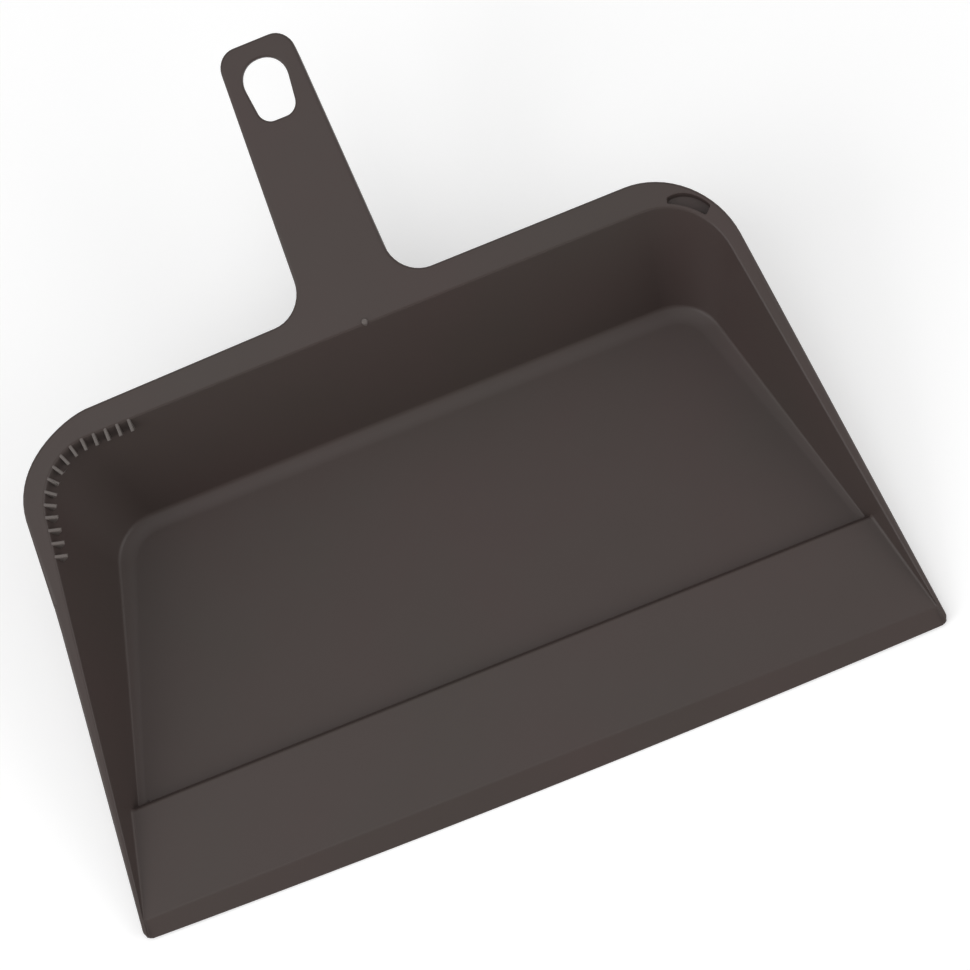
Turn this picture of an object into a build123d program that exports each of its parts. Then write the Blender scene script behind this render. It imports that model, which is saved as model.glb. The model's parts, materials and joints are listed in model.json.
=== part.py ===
from build123d import *
import os
from math import asin, cos, radians, sin, tan

os.makedirs("parts", exist_ok=True)

# One-piece moulded dustpan, divided along its feature lines.
# Millimetres and degrees. While it is drawn, y counts back from the ends of the lip, z up from the ground.

# Pan
lip_width = 311.0
lip_bow = 1.8
lip_corner_radius = 3.0
rim_depth = 168.0
rim_height = 58.0
rim_height_at_lip = 3.4
side_rim_at_lip = 1.2
side_rim_at_rear = 4.9
wall_draft = 17.0
wall_thickness = 2.2
floor_taper = 14.0
floor_thickness = 2.4
floor_corner_radius = 3.0
floor_land = 1.0
cove_radius_rear = 9.0
cove_radius_lip = 0.6
foot_radius_lip = 1.5

# Ramp between the lip and the floor
lip_thickness = 0.7
ridge_depth = 6.5
ridge_height = 5.0
crest_depth = 45.0
crest_height = 8.0
step_run = 3.1
ridge_radius = 3.0
crest_radius = 1.5
ramp_thickness = 2.2
lip_heel = 3.0

# Rim and its turned-down skirt
rim_thickness = 2.4
rear_rim_width = 11.0
rim_corner_radius = 33.0
skirt_thickness = 1.8
skirt_fade_depth = 118.0

# Handle
handle_length = 99.5
handle_root_width = 36.2
handle_tip_width = 28.0
handle_root_fillet = 13.0
handle_tip_radius = 7.3
handle_skirt_depth = 8.0
hole_margin = 7.1
hole_length = 23.0
hole_tip_width = 18.8
hole_pan_width = 13.4
hole_tip_radius = 8.0
hole_pan_radius = 5.0

# Stiffening webs under the handle
rib_thickness = 1.8
rib_depth = 6.0
rib_to_hole = 3.0
cross_rib_count = 3
gusset_count = 3
gusset_spacing = 11.0
gusset_foot_height = 26.0

# Bristle comb at the left rear corner
tooth_count = 15
tooth_pitch = 4.6
tooth_thickness = 1.4
tooth_reach = 4.6
tooth_height = 6.0
tooth_tip_height = 1.2
comb_lead = 16.3

# Shallow recess in the right rear corner of the rim
recess_start_angle = 21.0
recess_end_angle = 46.0
recess_inner_lip = 1.2
recess_width = 4.8
recess_depth = 1.6

# Worked-out sizes
lip_half = lip_width / 2
draft_run = tan(radians(wall_draft))
taper_run = tan(radians(floor_taper))
taper_cos = cos(radians(floor_taper))
taper_sin = sin(radians(floor_taper))
wall_offset = wall_thickness / cos(radians(wall_draft))
rim_rise = (rim_height - rim_height_at_lip) / rim_depth
rim_level_run = 1 / (1 + rim_rise**2) ** 0.5
rear_base = rim_depth - (rim_height - floor_thickness) * draft_run
tangent_run = tan(radians((90 - wall_draft) / 2))
floor_strip = cove_radius_rear * tangent_run + floor_land
foot_radius_rear = cove_radius_rear + wall_thickness
foot_corner = wall_offset - floor_thickness * draft_run
base_corner_radius = floor_corner_radius + floor_strip
step_depth = crest_depth + step_run
rim_rear_edge = rim_depth + rear_rim_width * rim_level_run
handle_start = rim_rear_edge + handle_root_fillet
handle_tip = rim_rear_edge + handle_length * rim_level_run
overall_depth = handle_tip + lip_bow
far = 2 * (lip_width + overall_depth)
sky = 2 * (rim_height + handle_length)


def rim_z(y):
    """Height of the rim's top face."""
    return rim_height_at_lip + y * rim_rise


def rim_under_z(y):
    """Height of the rim's underside."""
    return rim_z(y) - rim_thickness


def inner_half(y, z):
    """Half the width between the side walls' inner faces."""
    lean = (z - rim_height_at_lip) * draft_run / taper_cos
    return lip_half - side_rim_at_lip - y * taper_run + lean


corner_y = rear_base - base_corner_radius
corner_x = inner_half(corner_y, floor_thickness) - base_corner_radius / taper_cos
rim_rear_half = inner_half(rim_depth, rim_height) + side_rim_at_rear


def side_band(low, high):
    """Everything between two lines of the side view, each a function of y giving z."""
    start, end = -far, far
    outline = Polygon((start, low(start)), (end, low(end)), (end, high(end)), (start, high(start)), align=None)
    return extrude(Plane.YZ * outline, amount=far, both=True)


def between(front, back):
    """Everything from one depth to another."""
    return Pos(0, (front + back) / 2, 0) * Box(2 * far, back - front, 2 * far)


def rounded(sketch, places, radius):
    """The sketch with the corners nearest to the given places rounded."""
    picked = [sketch.vertices().sort_by_distance((x, y, 0))[0] for x, y in places]
    return fillet(picked, radius)


def upright(sketch):
    """A plan outline drawn up into a tall prism."""
    return extrude(sketch, amount=sky, both=True)


def pan_plan():
    """Outline of the whole pan, rim and handle seen from above."""
    root_half = handle_root_width / 2
    tip_half = handle_tip_width / 2
    front = ThreePointArc((-lip_half, 0), (0, -lip_bow), (lip_half, 0))
    rest = Polyline(
        (lip_half, 0),
        (rim_rear_half, rim_rear_edge),
        (root_half, rim_rear_edge),
        (tip_half, handle_tip),
        (-tip_half, handle_tip),
        (-root_half, rim_rear_edge),
        (-rim_rear_half, rim_rear_edge),
        (-lip_half, 0),
    )
    plan = make_face([front, rest])
    for x, y, radius in (
        (lip_half, 0, lip_corner_radius),
        (rim_rear_half, rim_rear_edge, rim_corner_radius),
        (root_half, rim_rear_edge, handle_root_fillet),
        (tip_half, handle_tip, handle_tip_radius),
    ):
        plan = rounded(plan, [(-x, y), (x, y)], radius)
    return plan


def hole_plan():
    """Outline of the hanging hole, wider and rounder towards the handle's tip."""
    tip_y = handle_tip - hole_margin * rim_level_run
    pan_y = tip_y - hole_length * rim_level_run
    plan = Polygon(
        (-hole_tip_width / 2, tip_y),
        (-hole_pan_width / 2, pan_y),
        (hole_pan_width / 2, pan_y),
        (hole_tip_width / 2, tip_y),
        align=None,
    )
    for half, y, radius in (
        (hole_tip_width / 2, tip_y, hole_tip_radius),
        (hole_pan_width / 2, pan_y, hole_pan_radius),
    ):
        plan = rounded(plan, [(-half, y), (half, y)], radius)
    return plan


def base_outline(grow, front):
    """Inner line of the walls at floor level, moved outwards, with its two rear corners rounded."""
    back = rear_base + grow
    spread = grow / taper_cos
    front_half = inner_half(front, floor_thickness) + spread
    back_half = inner_half(back, floor_thickness) + spread
    outline = Polygon(
        (-front_half, front), (front_half, front), (back_half, back), (-back_half, back), align=None
    )
    return rounded(outline, [(-back_half, back), (back_half, back)], base_corner_radius + grow)


def tub(grow):
    """The hollow between the walls, leaning outwards as it rises."""
    layers = []
    for z in (0, sky):
        flare = grow + (z - floor_thickness) * draft_run
        layers.append(Pos(0, 0, z) * base_outline(flare, -rim_depth))
    return loft(layers, ruled=True)


def wall_outline():
    """Upright cut through a wall and a strip of floor, its corners still sharp: x outwards, y up."""
    top = (sky - floor_thickness) * draft_run
    return Polygon(
        (-floor_strip, 0),
        (foot_corner, 0),
        (top + wall_offset, sky),
        (top, sky),
        (0, floor_thickness),
        (-floor_strip, floor_thickness),
        align=None,
    )


def wall_section():
    """The same cut at the rear, with the cove inside and the rounded foot outside."""
    section = rounded(wall_outline(), [(0, floor_thickness)], cove_radius_rear)
    return rounded(section, [(foot_corner, 0)], foot_radius_rear)


plan_prism = upright(pan_plan())
under_rim = side_band(lambda y: -sky, rim_under_z)
rim_band = side_band(rim_under_z, rim_z)


def ramp_space(front, back):
    """The room between the side walls' inner faces, from one depth to another."""
    ends = []
    for y in (front, back):
        low, high = -floor_thickness, sky
        ends.append(
            make_face(
                Polyline(
                    (-inner_half(y, low), y, low),
                    (inner_half(y, low), y, low),
                    (inner_half(y, high), y, high),
                    (-inner_half(y, high), y, high),
                    close=True,
                )
            )
        )
    return loft(ends, ruled=True)


def make_floor():
    """Flat floor plate inside the coves."""
    return extrude(base_outline(-floor_strip, step_depth), amount=floor_thickness)


def make_rear_wall():
    """Straight rear wall with its cove."""
    plane = Plane(origin=(-corner_x, rear_base, 0), x_dir=(0, 1, 0), z_dir=(1, 0, 0))
    return extrude(plane * wall_section(), amount=2 * corner_x) & under_rim


def side_plane(run=0.0):
    """Upright plane square to the right side wall, the given run in front of its corner."""
    outwards = Vector(taper_cos, taper_sin, 0)
    forwards = Vector(taper_sin, -taper_cos, 0)
    origin = Vector(corner_x, corner_y, 0) + outwards * base_corner_radius + forwards * run
    return Plane(origin=origin, x_dir=outwards, z_dir=forwards)


def make_corner_wall():
    """Right rear corner: the wall's section turned about the corner's upright axis."""
    axis = Axis((corner_x, corner_y, 0), (0, 0, 1))
    return revolve(side_plane() * wall_section(), axis=axis, revolution_arc=90 - floor_taper) & under_rim


def tapered_corner(across, height, radius, lip_radius, run):
    """What lies between a corner line of the right side wall and a rounding that tightens to the lip."""
    tangent = radius * tangent_run
    lean = radians(wall_draft)
    base = Polygon(
        (across, height),
        (across - tangent, height),
        (across + tangent * sin(lean), height + tangent * cos(lean)),
        align=None,
    )
    vanishing_run = run * radius / (radius - lip_radius)
    apex = side_plane(vanishing_run).from_local_coords(Vector(across, height, 0))
    centre = side_plane().from_local_coords(Vector(across - tangent, height + radius, 0))
    axis = apex - centre
    length = axis.length + radius
    base_radius = length * tan(asin(radius / axis.length))
    start = Plane(origin=apex - axis.normalized() * length, z_dir=axis)
    cone = start * Cone(base_radius, 0, length, align=(Align.CENTER, Align.CENTER, Align.MIN))
    return loft([side_plane() * base, Vertex(apex)], ruled=True) - cone


def make_side_wall():
    """Right side wall: its cove and foot tighten towards the lip, and its top falls with the rim."""
    run = (corner_y + base_corner_radius * taper_sin + lip_bow + lip_corner_radius) / taper_cos
    wall = extrude(side_plane() * wall_outline(), amount=run)
    wall = wall + tapered_corner(0, floor_thickness, cove_radius_rear, cove_radius_lip, run)
    wall = wall - tapered_corner(foot_corner, 0, foot_radius_rear, foot_radius_lip, run)
    return (wall & under_rim & plan_prism) - ramp_space(-rim_depth, crest_depth)


def make_ramp(walls):
    """Ramp from the lip up to its crest, with the step down to the floor behind it, hollow beneath."""
    bevel_rise = (ridge_height - lip_thickness) / (ridge_depth + lip_bow)
    ramp_rise = (crest_height - ridge_height) / (crest_depth - ridge_depth)
    step_fall = (crest_height - floor_thickness) / step_run
    nose = ridge_depth - ridge_height / bevel_rise
    step_shift = ramp_thickness * (1 + step_fall**2) ** 0.5 / step_fall
    ridge_under = ridge_height - ramp_thickness
    meet = (crest_height - ridge_under + step_fall * (crest_depth - step_shift) + ramp_rise * ridge_depth) / (
        step_fall + ramp_rise
    )
    meet_z = ridge_under + ramp_rise * (meet - ridge_depth)
    profile = Polygon(
        (nose, 0),
        (ridge_depth, ridge_height),
        (crest_depth, crest_height),
        (step_depth, floor_thickness),
        (step_depth, 0),
        (meet + meet_z / step_fall, 0),
        (meet, meet_z),
        (ridge_depth + lip_heel, ridge_under + ramp_rise * lip_heel),
        (lip_heel, 0),
        align=None,
    )
    profile = rounded(profile, [(ridge_depth, ridge_height)], ridge_radius)
    profile = rounded(profile, [(crest_depth, crest_height)], crest_radius)
    ramp = extrude(Plane.YZ * profile, amount=lip_half, both=True)
    ramp = ramp & ramp_space(-rim_depth, rim_depth) & plan_prism
    for wall in walls:
        ramp = ramp - wall
    return ramp.solids().sort_by(SortBy.VOLUME)[-1]


def rear_region():
    """Plan region behind the straight rear wall."""
    return Pos(0, corner_y + far / 2, 0) * Box(2 * corner_x, far, 2 * far)


def side_region():
    """Plan region beside the right side wall, in front of its corner."""
    frame = Plane(origin=(corner_x, corner_y, 0), x_dir=(taper_cos, taper_sin, 0), z_dir=(0, 0, 1))
    return frame * Pos(far / 2, -far / 2, 0) * Box(far, far, 2 * far)


def corner_region():
    """Plan region of the right rear corner, between the two regions above."""
    outline = Polygon(
        (corner_x, corner_y),
        (corner_x + far * taper_cos, corner_y + far * taper_sin),
        (corner_x + far, corner_y + far),
        (corner_x, corner_y + far),
        align=None,
    )
    return upright(outline)


rim_ring = (plan_prism & rim_band) - tub(0)


def make_recess():
    """Shallow pocket that follows the rim round its right rear corner."""
    inner = rim_reach(corner_y + base_corner_radius * cos(radians(recess_start_angle)), 1.0)
    inner = inner + base_corner_radius + recess_inner_lip
    sweep = recess_end_angle - recess_start_angle
    middle = inner + recess_width / 2
    arc = CenterArc((corner_x, corner_y), middle, 90 - recess_end_angle, sweep)
    groove = offset(arc, amount=recess_width / 2)
    outline = make_face(groove.edges())
    return upright(outline) & side_band(lambda y: rim_z(y) - recess_depth, lambda y: rim_z(y) + recess_depth)


def rim_reach(base_y, normal_y):
    """How far outwards of the base line a wall's inner face meets the rim's top face."""
    rise = rim_z(base_y) - floor_thickness
    return rise * draft_run / (1 - rim_rise * normal_y * draft_run)


def make_rim_skirt():
    """Turned-down edge of the rear rim, which fades out along the sides."""
    ring = upright(pan_plan() - offset(pan_plan(), amount=-skirt_thickness))
    deepest = rim_under_z(handle_start)
    wedge = Polygon(
        (skirt_fade_depth, rim_under_z(skirt_fade_depth)),
        (handle_start, deepest - handle_skirt_depth),
        (handle_start, deepest),
        align=None,
    )
    return (ring & extrude(Plane.YZ * wedge, amount=far, both=True)) - tub(wall_offset)


def handle_underside(depth):
    """Layer of the given depth right under the rim's and the handle's plate."""
    return side_band(lambda y: rim_under_z(y) - depth, rim_under_z)


def make_handle_plate():
    """Flat top of the handle with its hanging hole."""
    return (plan_prism & rim_band & between(handle_start, far)) - upright(hole_plan())


def make_handle_skirt():
    """Turned-down edge round the handle."""
    ring = upright(pan_plan() - offset(pan_plan(), amount=-skirt_thickness))
    return ring & handle_underside(handle_skirt_depth) & between(handle_start, far)


def make_handle_ribs():
    """Long rib with cross ribs inside the handle."""
    hole_front = handle_tip - (hole_margin + hole_length) * rim_level_run
    span = hole_front - rib_to_hole - handle_start
    ribs = Pos(0, handle_start + span / 2) * Rectangle(rib_thickness, span)
    for i in range(cross_rib_count):
        y = handle_start + span * (i + 1) / (cross_rib_count + 1)
        ribs = ribs + Pos(0, y) * Rectangle(handle_root_width, rib_thickness)
    inside = upright(offset(pan_plan(), amount=-skirt_thickness))
    return upright(ribs) & handle_underside(rib_depth) & inside


def make_root_gussets():
    """Webs that tie the handle's root to the rear wall."""
    meet = rear_base + wall_offset + (rim_under_z(rear_base + wall_offset) - floor_thickness) * draft_run / (
        1 - rim_rise * draft_run
    )
    foot_y = rear_base + wall_offset + (gusset_foot_height - floor_thickness) * draft_run
    outline = Polygon(
        (meet, rim_under_z(meet)),
        (handle_start, rim_under_z(handle_start)),
        (handle_start, rim_under_z(handle_start) - rib_depth),
        (foot_y, gusset_foot_height),
        align=None,
    )
    web = extrude(Plane.YZ * outline, amount=rib_thickness / 2, both=True)
    middle = (gusset_count - 1) / 2
    return Compound([Pos((i - middle) * gusset_spacing, 0, 0) * web for i in range(gusset_count)])


def comb_station(along):
    """Base point and outward normal of the left walls, counted from the comb's first tooth."""
    turn = 90 - floor_taper
    mean_radius = base_corner_radius + rim_reach(corner_y, 1.0)
    past_rear = along - comb_lead
    bend = mean_radius * radians(turn)
    if past_rear <= 0:
        return Vector(-corner_x - past_rear, rear_base, 0), 90.0
    angle = 90 + min(past_rear / bend, 1) * turn
    normal = Vector(cos(radians(angle)), sin(radians(angle)), 0)
    forwards = Vector(-taper_sin, -taper_cos, 0) * max(past_rear - bend, 0)
    return Vector(-corner_x, corner_y, 0) + normal * base_corner_radius + forwards, angle


def make_tooth(along, walls):
    """One tapering comb tooth, level with the rim and seated on the wall's inner face."""
    base, angle = comb_station(along)
    normal = Vector(cos(radians(angle)), sin(radians(angle)), 0)
    edge = rim_reach(base.Y, normal.Y)
    top = rim_z(base.Y + edge * normal.Y)
    root = wall_thickness / 2
    outline = Polygon(
        (edge + root, top + tooth_height),
        (edge - tooth_reach, top + tooth_height),
        (edge - tooth_reach, top - tooth_tip_height),
        (edge - tooth_height * draft_run, top - tooth_height),
        (edge + root - tooth_height * draft_run, top - tooth_height),
        align=None,
    )
    plane = Plane(origin=base, x_dir=normal, z_dir=normal.cross(Vector(0, 0, 1)))
    tooth = extrude(plane * outline, amount=tooth_thickness / 2, both=True)
    tooth = tooth & side_band(lambda y: -sky, rim_z)
    for wall in walls:
        tooth = tooth - wall
    return tooth


def mirrored(shape):
    """The same shape on the left side."""
    return mirror(shape, about=Plane.YZ)


right_wall = make_side_wall()
left_wall = mirrored(right_wall)
right_corner_wall = make_corner_wall()
left_corner_wall = mirrored(right_corner_wall)
rear_wall = make_rear_wall()

rear_rim = rim_ring & rear_region() & between(-far, handle_start)
right_rim = rim_ring & side_region()
left_rim = mirrored(right_rim)
plain_corner_rim = rim_ring & corner_region()
left_corner_rim = mirrored(plain_corner_rim)
right_corner_rim = plain_corner_rim - make_recess()

left_walls = [rear_wall, left_corner_wall, left_wall, rear_rim, left_corner_rim, left_rim]
comb_teeth = Compound([make_tooth(i * tooth_pitch, left_walls) for i in range(tooth_count)])

nodes = {
    "pan_floor": make_floor(),
    "front_ramp": make_ramp([right_wall, left_wall]),
    "rear_wall": rear_wall,
    "left_wall": left_wall,
    "right_wall": right_wall,
    "left_corner_wall": left_corner_wall,
    "right_corner_wall": right_corner_wall,
    "rear_rim": rear_rim,
    "left_rim": left_rim,
    "right_rim": right_rim,
    "left_corner_rim": left_corner_rim,
    "right_corner_rim": right_corner_rim,
    "rim_skirt": make_rim_skirt(),
    "handle_plate": make_handle_plate(),
    "handle_skirt": make_handle_skirt(),
    "handle_ribs": make_handle_ribs(),
    "root_gussets": make_root_gussets(),
    "comb_teeth": comb_teeth,
}

# The finished part stands on the ground with its origin under the middle of its box.
to_middle = Pos(0, lip_bow - overall_depth / 2, 0)
for name, shape in nodes.items():
    export_step(to_middle * shape, f"parts/{name}.step")
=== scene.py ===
# %% [markdown]
# A hand dustpan, moulded in one shot from warm charcoal plastic.
#
# The measured model is loaded first. It gives the size and place of every section of the
# moulding, and nothing here moves it. On the real pan all those sections are one skin with
# no seam in it, so one mesh is modelled over them and stands for them.

# %% Load the measured model
import json
from math import atan, atan2, cos, degrees, pi, radians, sin, tan

import bmesh
import bpy
from mathutils import Matrix, Vector

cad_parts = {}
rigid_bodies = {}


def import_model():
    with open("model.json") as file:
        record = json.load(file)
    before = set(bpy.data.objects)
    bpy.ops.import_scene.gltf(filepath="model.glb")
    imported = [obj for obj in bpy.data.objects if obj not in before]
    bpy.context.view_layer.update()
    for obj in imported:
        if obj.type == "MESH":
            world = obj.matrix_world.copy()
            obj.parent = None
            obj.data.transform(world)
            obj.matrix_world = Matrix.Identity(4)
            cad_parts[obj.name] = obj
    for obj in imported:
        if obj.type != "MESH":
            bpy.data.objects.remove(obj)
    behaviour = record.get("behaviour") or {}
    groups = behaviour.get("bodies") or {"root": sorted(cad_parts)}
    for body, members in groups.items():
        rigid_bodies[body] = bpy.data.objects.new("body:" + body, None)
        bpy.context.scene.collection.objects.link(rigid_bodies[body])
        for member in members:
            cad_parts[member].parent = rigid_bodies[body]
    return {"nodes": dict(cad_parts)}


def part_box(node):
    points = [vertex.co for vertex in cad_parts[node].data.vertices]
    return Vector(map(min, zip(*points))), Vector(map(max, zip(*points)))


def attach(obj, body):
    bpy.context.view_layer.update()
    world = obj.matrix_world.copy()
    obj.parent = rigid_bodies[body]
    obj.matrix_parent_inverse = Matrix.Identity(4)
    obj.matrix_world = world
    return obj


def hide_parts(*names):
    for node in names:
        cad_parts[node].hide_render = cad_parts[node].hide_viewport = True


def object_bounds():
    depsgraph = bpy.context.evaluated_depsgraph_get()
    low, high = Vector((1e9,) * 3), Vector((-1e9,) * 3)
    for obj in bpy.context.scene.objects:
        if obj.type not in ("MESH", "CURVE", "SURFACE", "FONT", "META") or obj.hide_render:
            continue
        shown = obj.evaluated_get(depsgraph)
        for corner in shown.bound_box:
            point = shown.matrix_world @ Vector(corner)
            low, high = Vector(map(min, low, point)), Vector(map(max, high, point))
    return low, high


bpy.ops.object.select_all(action="SELECT")
bpy.ops.object.delete()
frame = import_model()
cad_low, cad_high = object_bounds()
print("sections in the frame:", len(frame["nodes"]))

# %% [markdown]
# Sizes are written in millimetres, as on a drawing, and turned into metres by one factor.
# Depths count backwards from the two ends of the lip and heights up from the ground, so
# `place` also carries the distance from there to the frame's own origin.

# %% Sizes of the pan
MM = 0.001
LIP_WIDTH = 311.0
LIP_BOW = 1.8
RIM_DEPTH = 168.0
RIM_HEIGHT = 58.0
RIM_HEIGHT_AT_LIP = 3.4
SIDE_RIM_AT_LIP = 1.2
SIDE_RIM_AT_REAR = 4.9
REAR_RIM_WIDTH = 11.0
LEAN_ANGLE = 17.0
TAPER_ANGLE = 14.0
WALL_LEAN = tan(radians(LEAN_ANGLE))
SIDE_TAPER = radians(TAPER_ANGLE)
SHELL = 2.4
LIP_CORNER = 3.0

rim_rise = (RIM_HEIGHT - RIM_HEIGHT_AT_LIP) / RIM_DEPTH
rim_run = cos(atan(rim_rise))
lip_ends_y = cad_low.y / MM + LIP_BOW
floor_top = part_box("pan_floor")[1].z / MM


def place(x, y, z):
    """A point of the pan, in millimetres from the lip's ends and the ground, in the frame's metres."""
    return Vector((x, y + lip_ends_y, z)) * MM


def rim_z(y):
    """Height of the rim's sloping top."""
    return RIM_HEIGHT_AT_LIP + y * rim_rise


print("floor stands", round(floor_top, 2), "mm high; the rim climbs", round(rim_rise, 3), "per mm")

# %% [markdown]
# Everything below is done in edit mode, as by hand: pick something by its place, then use
# an operator on it. These helpers keep that short. `pick` replaces a click: it selects the
# vertices, edges or faces whose middle passes a test, in the pan's own millimetres. A choice by
# place still holds when the numbering of a mesh changes, and a choice by number doesn't. Places
# within `TOUCH` or `NEAR` of each other count as the same.

# %% Helpers for edit mode
TOUCH = 0.01
NEAR = 0.02


def spot(point):
    """A mesh point in the pan's millimetres: depth from the lip's ends, height from the ground."""
    return Vector((point.x / MM, point.y / MM - lip_ends_y, point.z / MM))


def start_piece(name, point):
    """A new mesh that is a single vertex, left in edit mode."""
    bpy.ops.object.select_all(action="DESELECT")
    bpy.ops.mesh.primitive_plane_add(size=MM)
    piece = bpy.context.object
    piece.name = name
    piece.data.name = name
    enter()
    pick_all()
    bpy.ops.mesh.merge(type="CENTER")
    bpy.ops.transform.translate(value=point)
    return piece


def draw_to(point):
    """Extrudes what is selected by the way from the last drawn place to this one."""
    mesh = bmesh.from_edit_mesh(bpy.context.object.data)
    chosen = [v.co for v in mesh.verts if v.select]
    bpy.ops.mesh.extrude_region_move(TRANSFORM_OT_translate={"value": point - chosen[-1]})


def pick(kind, test):
    """Selects by place: kind is verts, edges or faces, and test gets an element and its middle."""
    bpy.ops.mesh.select_mode(type={"verts": "VERT", "edges": "EDGE", "faces": "FACE"}[kind])
    bpy.ops.mesh.select_all(action="DESELECT")
    mesh = bmesh.from_edit_mesh(bpy.context.object.data)
    found = 0
    for element in getattr(mesh, kind):
        corners = [element] if kind == "verts" else element.verts
        middle = sum((v.co for v in corners), Vector()) / len(corners)
        if test(element, spot(middle)):
            element.select_set(True)
            found += 1
    mesh.select_flush_mode()
    bmesh.update_edit_mesh(bpy.context.object.data)
    return found


def pick_all():
    bpy.ops.mesh.select_mode(type="VERT")
    bpy.ops.mesh.select_all(action="SELECT")


def cut(point, normal, drop_front=False, drop_back=False, cap=False):
    """Cuts what is selected by a plane, and may drop the side before or behind it and cap the cut."""
    bpy.ops.mesh.bisect(
        plane_co=point,
        plane_no=normal,
        use_fill=cap,
        clear_outer=drop_front,
        clear_inner=drop_back,
        threshold=MM / 1000,
    )


def spin(point, axis, turn, steps):
    """Spins what is selected about an axis, right-handed, and leaves the last copy selected."""
    bpy.ops.mesh.spin(steps=steps, angle=-radians(turn), center=point, axis=axis)


def stretch(way):
    """Extrudes what is selected along a way in millimetres."""
    bpy.ops.mesh.extrude_region_move(TRANSFORM_OT_translate={"value": Vector(way) * MM})


def enter():
    bpy.ops.object.mode_set(mode="EDIT")


def leave():
    bpy.ops.object.mode_set(mode="OBJECT")


# %% [markdown]
# Inside, the walls lean outwards and curve into the floor by a cove. A box with a bevelled bottom
# edge would be a tub too, but with a cove of one radius. So the section behind the floor is drawn
# as a line: a single vertex is spun twice, first gently about a far middle, the toe of the cove,
# then tightly about a near one, its heel, and drawn up along the wall.

# %% Draw the wall's section at the end of the straight rear wall
TALL = 120.0
COVE_TOE = 14.0
COVE_TOE_TURN = 25.0
COVE_HEEL = 2.5
COVE_STEPS = 4
CORNER_RADIUS = 10.7

rear_base = RIM_DEPTH - (RIM_HEIGHT - floor_top) * WALL_LEAN
corner_y = rear_base - CORNER_RADIUS
toe_turn = radians(COVE_TOE_TURN)
heel_middle_y = (COVE_TOE - COVE_HEEL) * sin(toe_turn)
heel_middle_z = COVE_TOE - (COVE_TOE - COVE_HEEL) * cos(toe_turn)
cove_rise = heel_middle_z - COVE_HEEL * sin(radians(LEAN_ANGLE))
cove_run = heel_middle_y + COVE_HEEL * cos(radians(LEAN_ANGLE)) - cove_rise * WALL_LEAN
cove_start = rear_base - cove_run
side_start = LIP_WIDTH / 2 - SIDE_RIM_AT_LIP


def inner_half(y, z):
    """Half the width between the side walls."""
    return side_start - y * tan(SIDE_TAPER) + (z - RIM_HEIGHT_AT_LIP) * WALL_LEAN / cos(SIDE_TAPER)


corner_x = inner_half(corner_y, floor_top) - CORNER_RADIUS / cos(SIDE_TAPER)
skin = start_piece("pan_moulding", place(corner_x, cove_start, floor_top))
spin(place(corner_x, cove_start, floor_top + COVE_TOE), (1, 0, 0), COVE_TOE_TURN, COVE_STEPS)
pick("verts", lambda v, m: m.y > cove_start + COVE_TOE * sin(toe_turn) - TOUCH)
heel_middle = place(corner_x, cove_start + heel_middle_y, floor_top + heel_middle_z)
spin(heel_middle, (1, 0, 0), 90 - LEAN_ANGLE - COVE_TOE_TURN, COVE_STEPS)
draw_to(place(corner_x, rear_base + TALL * WALL_LEAN, floor_top + TALL))
levels = [(spot(v.co).z, spot(v.co).y - corner_y) for v in bmesh.from_edit_mesh(skin.data).verts]
print("points in the section:", len(levels))

# %% [markdown]
# The section is spun round the corner's upright axis. At the floor the real corner is rounder
# than that, so each ring of the corner is scaled about the axis and moved back along the
# corner's bisector, most at the floor and not at all at the rim, and it still touches both walls.
#
# Then the section is drawn forwards past the lip. There it is scaled about the foot of the wall,
# so the cove tightens on its way and the wall stays in one plane. The other end is drawn across
# to the middle: half a pan is enough.

# %% Turn the section into half a tub
CORNER_STEPS = 14
CORNER_EXTRA = 8.0
COVE_SHARE_AT_LIP = 0.067
half_turn = radians(90 - TAPER_ANGLE) / 2
bisector = Vector((sin(half_turn), cos(half_turn), 0))
forwards = Vector((sin(SIDE_TAPER), -cos(SIDE_TAPER), 0))
outwards = Vector((cos(SIDE_TAPER), sin(SIDE_TAPER), 0))
lip_overrun = LIP_BOW + LIP_CORNER
side_run = (corner_y + CORNER_RADIUS * sin(SIDE_TAPER) + lip_overrun) / cos(SIDE_TAPER)

pick_all()
spin(place(corner_x, corner_y, 0), (0, 0, 1), TAPER_ANGLE - 90, CORNER_STEPS)
for height, radius in levels:
    extra = CORNER_EXTRA * (RIM_HEIGHT - height) / (RIM_HEIGHT - floor_top)
    grow = 1 + extra / radius
    pick("verts", lambda v, m: abs(m.z - height) < TOUCH)
    bpy.ops.transform.resize(value=(grow, grow, 1), center_override=place(corner_x, corner_y, 0))
    bpy.ops.transform.translate(value=bisector * (-extra / cos(half_turn) * MM))


def upright_end(e):
    """True for the open edges at the two ends of the wall, which rise."""
    return e.is_boundary and abs(e.verts[0].co.z - e.verts[1].co.z) > NEAR * MM


pick("edges", lambda e, m: upright_end(e) and m.x > corner_x + 3)
stretch(forwards * side_run)
foot = Vector((corner_x, corner_y, floor_top)) + outwards * CORNER_RADIUS + forwards * side_run
bpy.ops.transform.resize(value=(COVE_SHARE_AT_LIP,) * 3, center_override=place(*foot))
pick("edges", lambda e, m: upright_end(e) and m.x < corner_x + 2)
stretch((0, 0, 0))
bpy.ops.transform.resize(value=(0, 1, 1), center_override=(0, 0, 0))

rim_normal = Vector((0, -rim_rise, 1)).normalized()
pick_all()
cut(place(0, 0, rim_z(0)), rim_normal, drop_front=True)
pick_all()
cut(place(0, 0, 0), (0, 1, 0), drop_back=True)
print("faces in half a tub:", len(bmesh.from_edit_mesh(skin.data).faces))

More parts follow.
